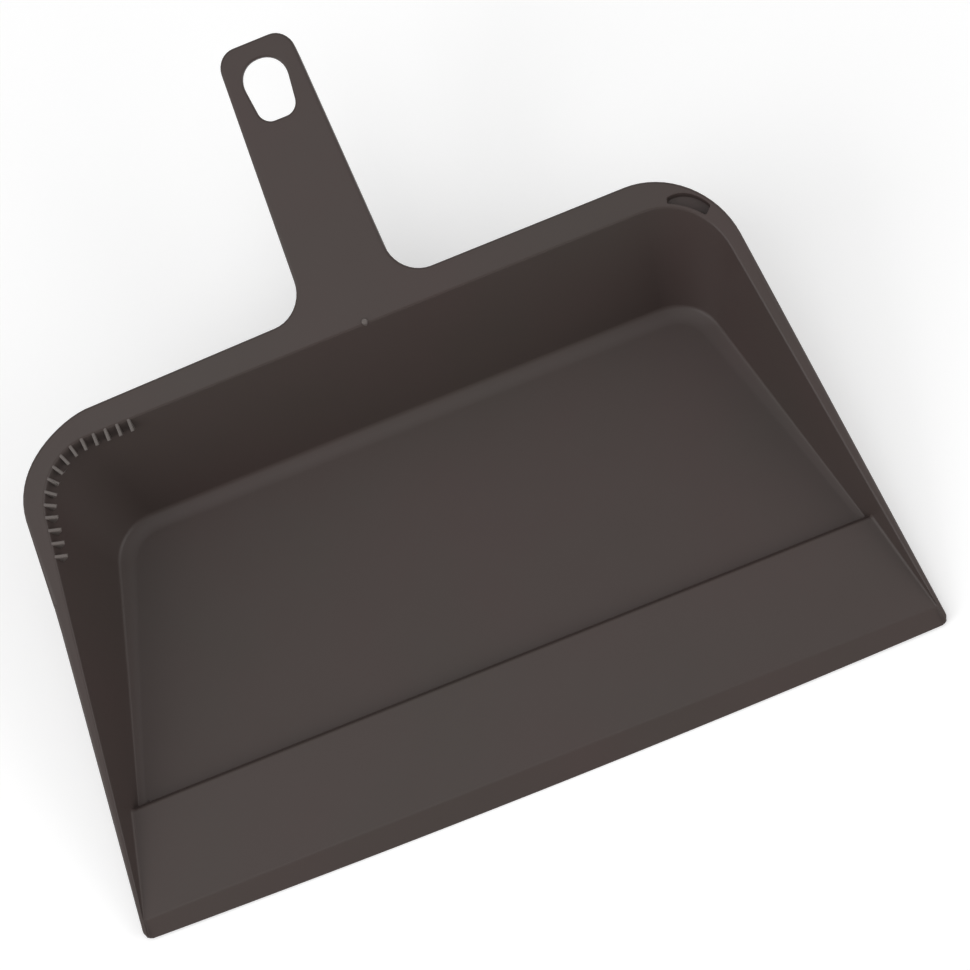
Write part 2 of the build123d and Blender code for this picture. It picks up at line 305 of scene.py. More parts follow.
# %% [markdown]
# The ramp is three flat strips from side to side: the bevel behind the lip, the long ramp and
# the step down to the floor, so steep that from above it is only a thin dark line. In front of
# the step the wall runs straight down, without its cove. It is cut along the three planes, what
# lies below goes, and the cut edge is drawn to the middle by an extrusion that is scaled to
# nothing across.

# %% Cut the ramp into the side wall and draw it to the middle
RIDGE_DEPTH = 6.5
RIDGE_HEIGHT = 5.0
RIDGE_RADIUS = 3.0
CREST_DEPTH = 46.0
CREST_HEIGHT = 8.0
CREST_RADIUS = 1.5
STEP_DEPTH = 47.5
STEP_RADIUS = 1.0
LIP_THICKNESS = 0.7
ARC_STEPS = 4
RAMP_CUTS = (0.75, 0.5, 0.3, 0.15)
CUT_DEPTH = 12.0


def rounded_line(corners, steps):
    """Points of a line in the side view: (y, z, radius) corners, each rounded with an arc."""
    points = [Vector(corners[0][:2])]
    for before, corner, after in zip(corners, corners[1:], corners[2:]):
        middle = Vector(corner[:2])
        inwards = (Vector(before[:2]) - middle).normalized()
        onwards = (Vector(after[:2]) - middle).normalized()
        turn = pi - inwards.angle(onwards)
        tangent = corner[2] * tan(turn / 2)
        hub = middle + (inwards + onwards).normalized() * corner[2] / cos(turn / 2)
        spoke = middle + inwards * tangent - hub
        sign = 1 if inwards.x * onwards.y - inwards.y * onwards.x < 0 else -1
        for i in range(steps + 1):
            points.append(hub + Matrix.Rotation(sign * turn * i / steps, 2) @ spoke)
    return points


profile = rounded_line(
    [
        (-LIP_BOW, LIP_THICKNESS, 0),
        (RIDGE_DEPTH, RIDGE_HEIGHT, RIDGE_RADIUS),
        (CREST_DEPTH, CREST_HEIGHT, CREST_RADIUS),
        (STEP_DEPTH, floor_top, STEP_RADIUS),
        (rear_base, floor_top, 0),
    ],
    ARC_STEPS,
)
step_end = profile[-1][0]
crest_start = max(y for y, z in profile if y < CREST_DEPTH)
ridge_end = profile.index(max(p for p in profile if p[0] < CREST_DEPTH / 2))
crest_arc = next(p for p in profile if p[0] > CREST_DEPTH / 2)
for share in RAMP_CUTS:
    profile.insert(ridge_end + 1, profile[ridge_end].lerp(crest_arc, share))
print("ramp:", [(round(y, 2), round(z, 2)) for y, z in profile])


def ramp_z(y):
    """Height of the bevel, the ramp or the step at a depth."""
    for (y0, z0), (y1, z1) in zip(profile, profile[1:]):
        if y0 <= y <= y1 + 0.001:
            return z0 + (y - y0) * (z1 - z0) / (y1 - y0)
    return floor_top


def runs_level(e):
    """True for an edge that runs straight across the pan."""
    return abs(e.verts[0].co.y - e.verts[1].co.y) < TOUCH * MM


for depth, height in profile[1:]:
    pick_all()
    cut(place(0, depth, 0), (0, 1, 0))

wall_slope = sin(radians(LEAN_ANGLE))
pick("faces", lambda f, m: m.y < crest_start and abs(abs(f.normal.z) - wall_slope) > 0.02)
bpy.ops.mesh.delete(type="FACE")
pick(
    "edges",
    lambda e, m: e.is_boundary
    and m.y < crest_start
    and m.z < rim_z(m.y) - 0.2
    and not runs_level(e),
)
stretch((-CUT_DEPTH * WALL_LEAN / cos(SIDE_TAPER), 0, -CUT_DEPTH))
for (y0, z0), (y1, z1) in zip(profile, profile[1:]):
    pick("faces", lambda f, m: y0 < m.y < y1)
    cut(place(0, y0, z0), Vector((0, z0 - z1, y1 - y0)).normalized())
pick("faces", lambda f, m: m.y < step_end and m.z < ramp_z(m.y) - 0.005)
bpy.ops.mesh.delete(type="FACE")

pick(
    "edges",
    lambda e, m: e.is_boundary
    and m.y < step_end
    and abs(m.z - ramp_z(m.y)) < NEAR
    and not runs_level(e),
)
stretch((0, 0, 0))
bpy.ops.transform.resize(value=(0, 1, 1), center_override=(0, 0, 0))
print("faces with the ramp:", len(bmesh.from_edit_mesh(skin.data).faces))

# %% [markdown]
# The floor is one flat face, filled inside the foot of the coves and the foot of the step. A grid
# of small faces would only add lines to a plane.

# %% Fill the floor
def lies(element, test):
    """True if every corner of an edge or a face passes a test of its place."""
    return all(test(v.co) for v in element.verts)


def most_corners():
    """Corners of the face of the skin that has the most."""
    return max(len(f.verts) for f in bmesh.from_edit_mesh(skin.data).faces)


def on_floor(point):
    return abs(spot(point).z - floor_top) < 0.005


def join_ends(first, second):
    """Draws an edge between the two vertices that lie at these places."""
    pick("verts", lambda v, m: min((m - spot(first)).length, (m - spot(second)).length) < NEAR)
    bpy.ops.mesh.edge_face_add()


join_ends(place(0, step_end, floor_top), place(0, cove_start, floor_top))
pick("edges", lambda e, m: lies(e, on_floor))
bpy.ops.mesh.edge_face_add()
print("corners of half a floor:", most_corners())

# %% [markdown]
# The lip bows forwards in the middle. Its edge is divided and the middle vertex is pulled
# along the bevel with a soft fall-off, a parabola. Everything else is hidden meanwhile, because
# the pull would take along whatever lies near.

# %% Bow the lip
LIP_CUTS = 15
bevel_rise = (RIDGE_HEIGHT - LIP_THICKNESS) / (RIDGE_DEPTH + LIP_BOW)
lip_z = ramp_z(0)


def on_lip(point):
    return abs(spot(point).y) < TOUCH and abs(spot(point).z - lip_z) < TOUCH


pick("edges", lambda e, m: lies(e, on_lip))
bpy.ops.mesh.subdivide(number_cuts=LIP_CUTS)
bpy.ops.mesh.hide(unselected=True)
pick("verts", lambda v, m: not v.hide and m.x < TOUCH)
bpy.ops.transform.translate(
    value=Vector((0, -LIP_BOW, -LIP_BOW * bevel_rise)) * MM,
    use_proportional_edit=True,
    proportional_edit_falloff="INVERSE_SQUARE",
    proportional_size=side_start * MM,
)
bpy.ops.mesh.reveal(select=False)
leave()
print("corners along half a lip:", LIP_CUTS + 2)

# %% [markdown]
# The outer edge of the rim and the handle is a line in plan. Its corners are rounded by
# vertex bevels. Drawn up and cut by the sloping plane of the rim it becomes the turned-down
# skirt, whose lower edge is cut by two more planes: one parallel to the handle, and one that
# lets the skirt fade out along the sides, down to the thickness of the rim itself.

# %% Skirt of the rim and the handle
LIP_HALF = LIP_WIDTH / 2
ROOT_HALF = 18.1
TIP_HALF = 14.0
HANDLE_LENGTH = 99.5
SKIRT_DEPTH = 10.4
SKIRT_START = 118.0
SKIRT_JOINT = 0.03
SKIRT_RUNOUT = 1.0
SKIRT_THICKNESS = 1.8
SIDE_EDGE = 2.6
RIM_CORNER = 33.0
ROOT_FILLET = 13.0
TIP_CORNER = 7.3

rim_rear_half = inner_half(RIM_DEPTH, RIM_HEIGHT) + SIDE_RIM_AT_REAR
rim_rear_edge = RIM_DEPTH + REAR_RIM_WIDTH * rim_run
handle_start = rim_rear_edge + ROOT_FILLET
handle_tip = rim_rear_edge + HANDLE_LENGTH * rim_run


def on_rim(point):
    """True in the sloping plane of the rim's and the handle's top."""
    return abs(spot(point).z - rim_z(spot(point).y)) < TOUCH


def draw_outline(name, points):
    """A wire in plan through the given points, on the ground."""
    wire = start_piece(name, place(*points[0], 0))
    for point in points[1:]:
        draw_to(place(*point, 0))
    return wire


def round_corner(before, corner, after, radius, steps):
    """Rounds one corner of a wire with a vertex bevel."""
    coming = Vector(corner) - Vector(before)
    turn = coming.angle(Vector(after) - Vector(corner))
    pick("verts", lambda v, m: (m.xy - Vector(corner)).length < 0.05)
    bpy.ops.mesh.bevel(affect="VERTICES", offset=radius * tan(turn / 2) * MM, segments=steps, profile=0.5)


def raise_curtain(depth):
    """Draws a wire up to the plane of the rim and cuts it off at a depth under it."""
    pick_all()
    stretch((0, 0, TALL))
    pick_all()
    cut(place(0, 0, rim_z(0)), rim_normal, drop_front=True)
    pick_all()
    cut(place(0, 0, rim_z(0) - depth), rim_normal, drop_back=True)


outline = [
    (0, handle_tip),
    (TIP_HALF, handle_tip),
    (ROOT_HALF, rim_rear_edge),
    (rim_rear_half, rim_rear_edge),
    (LIP_HALF, 0),
]
skirt = draw_outline("skirt", outline)
for i, radius, steps in ((1, TIP_CORNER, 8), (2, ROOT_FILLET, 10), (3, RIM_CORNER, 16)):
    round_corner(*outline[i - 1 : i + 2], radius, steps)
raise_curtain(SKIRT_DEPTH)
fade_start = Vector((0, SKIRT_START, rim_z(SKIRT_START) - SIDE_EDGE))
fade_end = Vector((0, handle_start, rim_z(handle_start) - SKIRT_DEPTH))
pick_all()
cut(place(*fade_start), Vector((1, 0, 0)).cross(fade_end - fade_start).normalized(), drop_back=True)
pick_all()
cut(place(*fade_start), (0, 1, 0), drop_back=True)
leave()
outer_plan = [spot(v.co).xy for v in skirt.data.vertices]
print("skirt:", len(skirt.data.polygons), "faces, from a depth of", SKIRT_START)

# %% [markdown]
# The hanging hole is a plain opening in the handle's plate. A boolean could cut it, but a hole
# that is drawn into the outline leaves cleaner faces. Its line is drawn the same way, and only
# where it meets the plane of the rim is it kept.

# %% Outline of the hanging hole
HOLE_MARGIN = 7.1
HOLE_LENGTH = 23.0
HOLE_TIP_HALF = 9.4
HOLE_PAN_HALF = 6.7
HOLE_TIP_CORNER = 8.0
HOLE_PAN_CORNER = 5.0
HOLE_STEPS = 10

hole_tip = handle_tip - HOLE_MARGIN * rim_run
hole_pan = hole_tip - HOLE_LENGTH * rim_run
outline = [(0, hole_tip), (HOLE_TIP_HALF, hole_tip), (HOLE_PAN_HALF, hole_pan), (0, hole_pan)]
hole = draw_outline("hole", outline)
for i, radius in ((1, HOLE_TIP_CORNER), (2, HOLE_PAN_CORNER)):
    round_corner(*outline[i - 1 : i + 2], radius, HOLE_STEPS)
raise_curtain(SKIRT_DEPTH)
pick("verts", lambda v, m: not on_rim(v.co))
bpy.ops.mesh.delete(type="VERT")
leave()
print("hole:", len(hole.data.edges), "edges")

# %% [markdown]
# The three meshes become one. The rest of the outer edge is drawn along the side to the lip,
# and the flat top of the rim and the handle is filled as a single face.

# %% Join the parts of the skin and fill the top
SIDE_STEPS = 12


def select_only(active, *others):
    """Selects these pieces and nothing else, and makes the first one active."""
    bpy.ops.object.select_all(action="DESELECT")
    for piece in (active, *others):
        piece.select_set(True)
    bpy.context.view_layer.objects.active = active


def join_into(main, *others):
    """Joins other meshes into the first one and goes on in edit mode."""
    select_only(main, *others)
    bpy.ops.object.join()
    enter()


def outer_x(y):
    """Half the width of the rim's outer edge along the straight sides."""
    return LIP_HALF + (rim_rear_half - LIP_HALF) * y / rim_rear_edge


def skirt_end(v, m):
    return on_rim(v.co) and abs(m.y - SKIRT_START) < TOUCH and m.x > inner_half(m.y, m.z) + 1


join_into(skin, skirt, hole)
pick("verts", skirt_end)
for depth in (SKIRT_START - SKIRT_JOINT, SKIRT_START - SKIRT_RUNOUT):
    draw_to(place(outer_x(depth), depth, rim_z(depth)))
for i in range(SIDE_STEPS - 1, -1, -1):
    depth = SKIRT_START * i / SIDE_STEPS
    draw_to(place(outer_x(depth), depth, rim_z(depth)))
draw_to(place(side_start, 0, RIM_HEIGHT_AT_LIP))
pick_all()
bpy.ops.mesh.remove_doubles(threshold=NEAR * MM)
join_ends(place(0, handle_tip, rim_z(handle_tip)), place(0, hole_tip, rim_z(hole_tip)))
join_ends(place(0, hole_pan, rim_z(hole_pan)), place(0, RIM_DEPTH, RIM_HEIGHT))
pick("edges", lambda e, m: lies(e, on_rim))
bpy.ops.mesh.edge_face_add()
print("corners of half a rim and handle:", most_corners())

# %% [markdown]
# The end of the lip is rounded in plan. Ramp, wall and rim meet there without one edge that a
# bevel could take, so four upright cuts that touch the same circle do it. Then the half is
# mirrored.

# %% Round the lip's end and mirror
CORNER_CUTS = (0, -24, -48, -72)
CORNER_IN = 1.123
CORNER_BACK = 0.985
corner_middle = Vector((LIP_HALF - LIP_CORNER * CORNER_IN, LIP_CORNER * CORNER_BACK, 0))


def heading(angle):
    """A level way at an angle from the x axis, in degrees."""
    return Vector((cos(radians(angle)), sin(radians(angle)), 0))


for angle in CORNER_CUTS:
    way = heading(angle)
    pick("faces", lambda f, m: max(spot(v.co).x for v in f.verts) > LIP_HALF - 4)
    cut(place(*(corner_middle + way * LIP_CORNER)), way, drop_front=True)
leave()

mirror = skin.modifiers.new("other half", "MIRROR")
mirror.use_clip = True
mirror.merge_threshold = TOUCH * MM
bpy.ops.object.modifier_apply(modifier=mirror.name)
print("faces of both halves:", len(skin.data.polygons))

# %% [markdown]
# A pocket sinks into the rim at its right rear corner: a wedge in plan, which narrows towards
# the handle and leaves a thin lip at the inner edge. A boolean isn't sure to cut so close to an
# edge in the same way each time, so the pocket is drawn in: its outline becomes a low curtain,
# like the skirt, and gets a bottom. Then the right half of the flat top is taken off and filled
# again in two parts, which meet at two short edges from the pocket to the edges of the rim. Last,
# the normals of the whole skin are turned to the side that the dust sees.

# %% Pocket in the right rear corner of the rim
POCKET_INNER = 28.0
POCKET_INNER_GROWTH = 0.9
POCKET_OUTER = 33.0
POCKET_WIDEST = 0.5
POCKET_TAPER_SIDE = 4.4
POCKET_TAPER_REAR = 8.4
POCKET_FROM = 42.0
POCKET_TO = 71.0
POCKET_DEPTH = 3.4
POCKET_CORNER = 0.7
POCKET_STEPS = 8


def about_corner(radius, share):
    """A point in plan at a radius about the corner's upright axis and a share of the pocket's turn."""
    angle = radians(POCKET_FROM + (POCKET_TO - POCKET_FROM) * share)
    return corner_x + radius * cos(angle), corner_y + radius * sin(angle)


def around(m):
    """Radius and angle of a place about the corner's upright axis."""
    way = m.xy - Vector((corner_x, corner_y))
    return way.length, degrees(atan2(way.y, way.x))


def in_pocket(m):
    """True for a place within the pocket's outline, or close by."""
    radius, angle = around(m)
    return POCKET_INNER - 0.1 < radius < POCKET_OUTER + 0.1 and POCKET_FROM - 1 < angle < POCKET_TO + 1


def on_top(point):
    """A point in plan, raised to the plane of the rim."""
    return place(*point, rim_z(point[1]))


def closest(point, test):
    """Place of the vertex of the flat top that is nearest to a point and passes a test."""
    mesh = bmesh.from_edit_mesh(bpy.context.object.data)
    found = [v.co.copy() for v in mesh.verts if on_rim(v.co) and test(spot(v.co))]
    return min(found, key=lambda p: (p - point).length)


def pocket_inner(share):
    return about_corner(POCKET_INNER + POCKET_INNER_GROWTH * share, share)


def pocket_outer(share):
    taper = POCKET_TAPER_SIDE if share < POCKET_WIDEST else POCKET_TAPER_REAR
    return about_corner(POCKET_OUTER - taper * (share - POCKET_WIDEST) ** 2, share)


shares = [i / POCKET_STEPS for i in range(POCKET_STEPS + 1)]
outline = [pocket_outer(share) for share in shares] + [pocket_inner(share) for share in reversed(shares)]
pocket = draw_outline("pocket", outline)
join_ends(place(*outline[0], 0), place(*outline[-1], 0))
for i in (-1, 0, POCKET_STEPS, POCKET_STEPS + 1):
    round_corner(outline[i - 1], outline[i], outline[i + 1], POCKET_CORNER, ARC_STEPS)
raise_curtain(POCKET_DEPTH)
pick("edges", lambda e, m: e.is_boundary and m.z < rim_z(m.y) - POCKET_DEPTH / 2)
bpy.ops.mesh.edge_face_add()
leave()

join_into(skin, pocket)
pick("faces", lambda f, m: m.x > 0 and lies(f, on_rim))
bpy.ops.mesh.delete(type="ONLY_FACE")
inner_side = on_top(pocket_inner(0.5))
outer_side = on_top(pocket_outer(0.5))
inner_end = closest(inner_side, lambda m: around(m)[0] < POCKET_INNER - 0.3)
outer_end = closest(outer_side, lambda m: around(m)[0] > POCKET_OUTER + 0.3)
seam = (inner_side, inner_end, outer_side, outer_end)
join_ends(inner_side, inner_end)
join_ends(outer_side, outer_end)


def on_seam(point):
    return min((point - p).length for p in seam) < NEAR * MM


def before_seam(m):
    """True for a place on the side's part of the top, seen from the nearer of the two short edges."""
    radius, angle = around(m)
    turns = [around(spot(p)) for p in seam]
    return angle < min(turns, key=lambda t: abs(t[0] - radius))[1]


def half_top(e, m, first):
    """True for the edges round the first or the second part of the right half of the top."""
    if m.x < -TOUCH or not lies(e, on_rim):
        return False
    return lies(e, on_seam) or before_seam(m) == first


for first in (True, False):
    count = pick("edges", lambda e, m: half_top(e, m, first))
    bpy.ops.mesh.edge_face_add()
    print("edges of a part of the top:", count)
pick_all()
bpy.ops.mesh.normals_make_consistent(inside=False)
mesh = bmesh.from_edit_mesh(skin.data)
floor_face = max(mesh.faces, key=lambda f: f.calc_area() if lies(f, on_floor) else 0)
print("floor looks up:", floor_face.normal.z > 0)
if floor_face.normal.z < 0:
    bpy.ops.mesh.flip_normals()
leave()

# %% [markdown]
# The photographed pan isn't quite even: its left rear corner is pulled out to the side, and the
# rim behind it is drawn in. Two soft pulls along the rim's plane do that to the outer edge,
# while everything else is hidden. Each has a place round the corner, a way and a reach.

# %% Pull the left rear corner of the rim
CORNER_PULLS = ((12, (-1.9, -0.3), 44.0), (68, (0.3, -1.8), 34.0))
PULL_GRIP = 1.6
AXIS_SHARE = 0.98


def on_outer_edge(point):
    """True on the outline of the rim and the handle, seen in plan."""
    s = spot(point)
    s.x = abs(s.x)
    if s.y < SKIRT_START - SKIRT_JOINT / 2:
        return on_rim(point) and s.x > inner_half(s.y, s.z) + 0.3
    return any((s.xy - p).length < NEAR for p in outer_plan)


edge_points = {v.index for v in skin.data.vertices if on_outer_edge(v.co)}
print("points of the outer edge:", len(edge_points))
axis_y = rim_rear_edge - RIM_CORNER
axis_x = outer_x(axis_y) - RIM_CORNER * AXIS_SHARE

enter()
pick("verts", lambda v, m: v.index in edge_points and m.x < 0 and m.y < handle_start)
bpy.ops.mesh.hide(unselected=True)
for angle, (across, along), reach in CORNER_PULLS:
    middle = Vector((-axis_x, axis_y)) + heading(180 - angle).xy * RIM_CORNER
    pick("verts", lambda v, m: not v.hide and (m.xy - middle).length < PULL_GRIP)
    bpy.ops.transform.translate(
        value=Vector((across, along, along * rim_rise)) * MM,
        use_proportional_edit=True,
        proportional_edit_falloff="SMOOTH",
        proportional_size=reach * MM,
    )
bpy.ops.mesh.reveal(select=False)
leave()

# %% [markdown]
# The skin is given the thickness of the moulding, on the unseen side. A second skin could be drawn
# below the first, but one Solidify modifier does it all. The thickness is a vertex group's weight:
# thin at the lip, where the side wall is low and at the pocket, full elsewhere.

# %% Thicken
POCKET_WALL = 0.7
POCKET_ZONE = 9.0
POCKET_ZONE_TURN = 9.0
GROUND_CLEARANCE = 0.005
EDGE_AT_LIP = 1.6
EDGE_GROWTH = 0.02
RAMP_SHARE = 0.85
WALL_SHARE_AT_LIP = 0.24
WALL_SHARE_GROWTH = 0.0058


def thickness(s, on_edge):
    """Thickness at a point of the skin."""
    if abs(s.z - floor_top) < TOUCH:
        return SHELL
    radius, angle = around(s)
    beside = POCKET_FROM - POCKET_ZONE_TURN < angle < POCKET_TO + POCKET_ZONE_TURN
    if beside and radius < POCKET_OUTER + POCKET_ZONE and s.z > RIM_HEIGHT / 2:
        return POCKET_WALL
    depth = max(s.y, 0)
    if on_edge:
        on_skirt = s.y > SKIRT_START - SKIRT_JOINT / 2
        return SKIRT_THICKNESS if on_skirt else min(SIDE_EDGE, EDGE_AT_LIP + EDGE_GROWTH * depth)
    if abs(s.x) < ROOT_HALF and s.y < step_end:
        return min(RAMP_SHARE * SHELL, s.z)
    wall = min(SHELL * min(1.0, WALL_SHARE_AT_LIP + WALL_SHARE_GROWTH * depth), s.z)
    if s.y < step_end:
        return wall
    up_the_cove = (s.z - floor_top) / (cove_rise * min(1.0, s.y / corner_y))
    return SHELL + (wall - SHELL) * min(up_the_cove, 1.0)


group = skin.vertex_groups.new(name="thickness")
for v in skin.data.vertices:
    group.add([v.index], thickness(spot(v.co), v.index in edge_points) / SIDE_EDGE, "REPLACE")
thick = skin.modifiers.new("thickness", "SOLIDIFY")
thick.thickness = (SIDE_EDGE - GROUND_CLEARANCE) * MM
thick.offset = -1
thick.use_even_offset = True
thick.use_quality_normals = True
thick.vertex_group = group.name
bpy.ops.object.modifier_apply(modifier=thick.name)
print("faces of the thick skin:", len(skin.data.polygons))

# %% [markdown]
# No edge of a moulding is sharp. The lines where the ramp meets the walls are filleted, the
# rim's inner edge and the hole are eased, and the outer edge rolls over widely. Where the wall
# is low, near the lip, there is less room: each edge gets a weight of its own, and a bevel
# modifier rounds it by that share.

# %% Ease the edges
WALL_FILLET = 1.2
INNER_EDGE = 0.7
HOLE_EDGE = 0.9
OUTER_EDGE = 1.2
OUTER_EDGE_AT_LIP = 0.35
OUTER_EDGE_GROWTH = 0.02
POCKET_EDGE = 0.3
LIP_ZONE = 5.0
LOW_WALL_SHARE = 0.2
LOW_WALL_GROWTH = 0.2
WEIGHT_STEPS = 20
SAME_WAY = 0.99
UPRIGHT = 0.2
LEANING = 0.5


def on_profile(point):
    s = spot(point)
    return abs(s.z - ramp_z(s.y)) < NEAR


def top_and(edge, test):
    """True if an edge lies between the rim's flat top and a face whose normal passes the test."""
    if len(edge.link_faces) != 2 or not lies(edge, on_rim):
        return False
    a, b = (f.normal for f in edge.link_faces)
    if a.dot(rim_normal) < SAME_WAY:
        a, b = b, a
    return a.dot(rim_normal) > SAME_WAY and test(b)


def in_hole(m):
    return abs(m.x) < HOLE_TIP_HALF + 1 and hole_pan - 1 < m.y < hole_tip + 1


def ramp_side(e, m):
    if runs_level(e) or abs(m.x) < ROOT_HALF:
        return False
    return 0.5 < m.y < step_end and lies(e, on_profile)


def inner_edge(e, m):
    return not in_hole(m) and top_and(e, lambda n: UPRIGHT < n.z < LEANING)


def hole_edge(e, m):
    return in_hole(m) and top_and(e, lambda n: True)


def pocket_edge(e, m):
    return in_pocket(m) and top_and(e, lambda n: abs(n.z) < UPRIGHT)


def outer_edge(e, m):
    return not in_hole(m) and not in_pocket(m) and top_and(e, lambda n: abs(n.z) < UPRIGHT)


def low_wall_share(y):
    """Share of a rounding that there is room for on the low wall near the lip."""
    if y < RIDGE_DEPTH + 1:
        return LOW_WALL_SHARE
    return min(1.0, LOW_WALL_SHARE + (rim_z(y) - ramp_z(y)) * LOW_WALL_GROWTH)


def outer_share(y):
    room = OUTER_EDGE_AT_LIP + max(y - LIP_ZONE, 0) * OUTER_EDGE_GROWTH
    return min(room / OUTER_EDGE, 1.0)


def soften(width, steps, test, share):
    """Rounds the edges that pass a test, each by a share of the width that depends on its depth."""
    enter()
    pick_all()
    bpy.ops.transform.edge_bevelweight(value=-1)
    found = 0
    for step in range(1, WEIGHT_STEPS + 1):
        found += pick("edges", lambda e, m: test(e, m) and round(share(m.y) * WEIGHT_STEPS) == step)
        bpy.ops.transform.edge_bevelweight(value=step / WEIGHT_STEPS)
    leave()
    easing = skin.modifiers.new("easing", "BEVEL")
    easing.width = width * MM
    easing.segments = steps
    easing.limit_method = "WEIGHT"
    easing.use_clamp_overlap = False
    bpy.context.view_layer.objects.active = skin
    bpy.ops.object.modifier_apply(modifier=easing.name)
    print("eased edges:", found, "up to", width, "mm")


soften(WALL_FILLET, 4, ramp_side, low_wall_share)
soften(INNER_EDGE, 3, inner_edge, low_wall_share)
soften(HOLE_EDGE, 3, hole_edge, lambda y: 1.0)
soften(POCKET_EDGE, 2, pocket_edge, lambda y: 1.0)
soften(OUTER_EDGE, 4, outer_edge, outer_share)

# %% [markdown]
# In front of the step the skin leaves the ground to become the ramp, and the space under it is
# hollow. The side walls go on down to the ground there. Such a cheek is one section, with a
# foot that is rounded less and less on its way to the lip, drawn forwards and cut to the rim.
# At last the lines that the cuts left on the flat side walls are dissolved.

# %% Cheeks at the ends of the ramp
CHEEK_START = 56.0
CHEEK_THICKNESS = 1.3
CHEEK_FOOT_REAR = 5.0
CHEEK_FOOT_LIP = 1.2
CHEEK_FOOT_TOP = 6.0
CHEEK_FOOT_STEPS = 6
CHEEK_LEDGE = 1.0
CHEEK_SINK = 0.15
CHEEK_BASE = 2.0
CHEEK_TALL = 40.0
CHEEK_UNDER_RIM = 0.4
CHEEK_INSET = 0.05
CHEEK_FRONT = 1.2
SAME_PLANE = 0.9999
CUT_LINE_ANGLE = 0.6
SKIN_CREASE = 32

lean = radians(LEAN_ANGLE)
cheek_foot = Vector((inner_half(CHEEK_START, floor_top), CHEEK_START, floor_top))
cheek_run = (CHEEK_START + lip_overrun) / cos(SIDE_TAPER)
corner_u = CHEEK_THICKNESS / cos(lean) - floor_top * WALL_LEAN
tangent = CHEEK_FOOT_REAR * tan(radians((90 - LEAN_ANGLE) / 2))
foot_u = corner_u - tangent


def section(u, v):
    """A point of the cheek's rear section: outwards of the wall's foot and above the ground."""
    return place(*(cheek_foot + outwards * u + Vector((0, 0, v - floor_top))))


def inside_u(v):
    """Where the cheek's inner face lies at a height: a little inside the skin."""
    return CHEEK_SINK / cos(lean) + (v - floor_top) * WALL_LEAN


cheek = start_piece("cheek", section(foot_u, 0))
spin(section(foot_u, CHEEK_FOOT_REAR), forwards, 90 - LEAN_ANGLE, CHEEK_FOOT_STEPS)
draw_to(section(corner_u + CHEEK_TALL * WALL_LEAN, CHEEK_TALL))
draw_to(section(inside_u(CHEEK_TALL), CHEEK_TALL))
draw_to(section(inside_u(CHEEK_BASE), CHEEK_BASE))
draw_to(section(foot_u - CHEEK_LEDGE, CHEEK_BASE))
draw_to(section(foot_u - CHEEK_LEDGE, 0))
pick_all()
bpy.ops.mesh.edge_face_add()
stretch(forwards * cheek_run)


def at_the_foot(v, m):
    """True for the rounded foot at the front end of the cheek."""
    way = m - cheek_foot
    u = way.dot(outwards)
    outside = u > foot_u - TOUCH and u > inside_u(m.z) + 0.1
    return outside and way.dot(forwards) > 1 and m.z < CHEEK_FOOT_TOP


pick("verts", at_the_foot)
front_corner = section(corner_u, 0) + forwards * cheek_run * MM
bpy.ops.transform.resize(value=(CHEEK_FOOT_LIP / CHEEK_FOOT_REAR,) * 3, center_override=front_corner)
pick_all()
bpy.ops.mesh.normals_make_consistent(inside=False)
side_normal = Vector((rim_rear_edge, LIP_HALF - rim_rear_half, 0)).normalized()
cuts = [
    (place(0, 0, rim_z(0) - CHEEK_UNDER_RIM), rim_normal),
    (place(LIP_HALF, 0, 0) - side_normal * CHEEK_INSET * MM, side_normal),
    (place(0, CHEEK_FRONT, 0), Vector((0, -1, 0))),
]
for angle in CORNER_CUTS:
    way = heading(angle)
    cuts.append((place(*(corner_middle + way * (LIP_CORNER - CHEEK_INSET))), way))
for point, normal in cuts:
    pick_all()
    cut(point, normal, drop_front=True, cap=True)
pick_all()
bpy.ops.mesh.normals_make_consistent(inside=False)
leave()


def copy_of(piece):
    """A copy with a mesh of its own."""
    twin = piece.copy()
    twin.data = piece.data.copy()
    bpy.context.collection.objects.link(twin)
    return twin


other = copy_of(cheek)
select_only(other)
enter()
pick_all()
bpy.ops.transform.resize(value=(-1, 1, 1), center_override=(0, 0, 0))
bpy.ops.mesh.normals_make_consistent(inside=False)
leave()


def finish_mesh(piece, angle):
    """Smooth shading that keeps flat faces flat and sharp edges sharp."""
    select_only(piece)
    bpy.ops.object.shade_smooth_by_angle(angle=radians(angle))
    flat = piece.modifiers.new("flat faces", "WEIGHTED_NORMAL")
    flat.keep_sharp = True
    bpy.ops.object.modifier_apply(modifier=flat.name)


join_into(skin, cheek, other)
inwards = Vector((-cos(SIDE_TAPER) * cos(lean), -sin(SIDE_TAPER) * cos(lean), sin(lean)))
for side in (1, -1):
    facing = Vector((inwards.x * side, inwards.y, inwards.z))
    pick("faces", lambda f, m: f.normal.dot(facing) > SAME_PLANE)
    bpy.ops.mesh.dissolve_limited(angle_limit=radians(CUT_LINE_ANGLE))
leave()
finish_mesh(skin, SKIN_CREASE)
print("faces of the finished skin:", len(skin.data.polygons))

# %% [markdown]
# The comb pulls dust out of a brush: fifteen fins round the left rear corner. One fin is drawn in
# its side view, thickened and copied. An array along a curve would follow the corner as well, but
# would tilt the fins with it, so each copy is stood square to the wall at its own place. The
# fifteen are joined, cut off just under the plane of the rim, and their tops are rounded.

# %% Comb teeth
TOOTH_COUNT = 15
TOOTH_PITCH = 4.6
TOOTH_THICKNESS = 1.3
TOOTH_REACH = 4.6
TOOTH_HEIGHT = 6.0
TOOTH_TIP = 1.3
TOOTH_ROOT = 1.2
COMB_LEAD = 16.3
COMB_SINK = 0.12
TOP_EASING = 0.4
TOP_STEPS = 3
SMALL_CREASE = 40


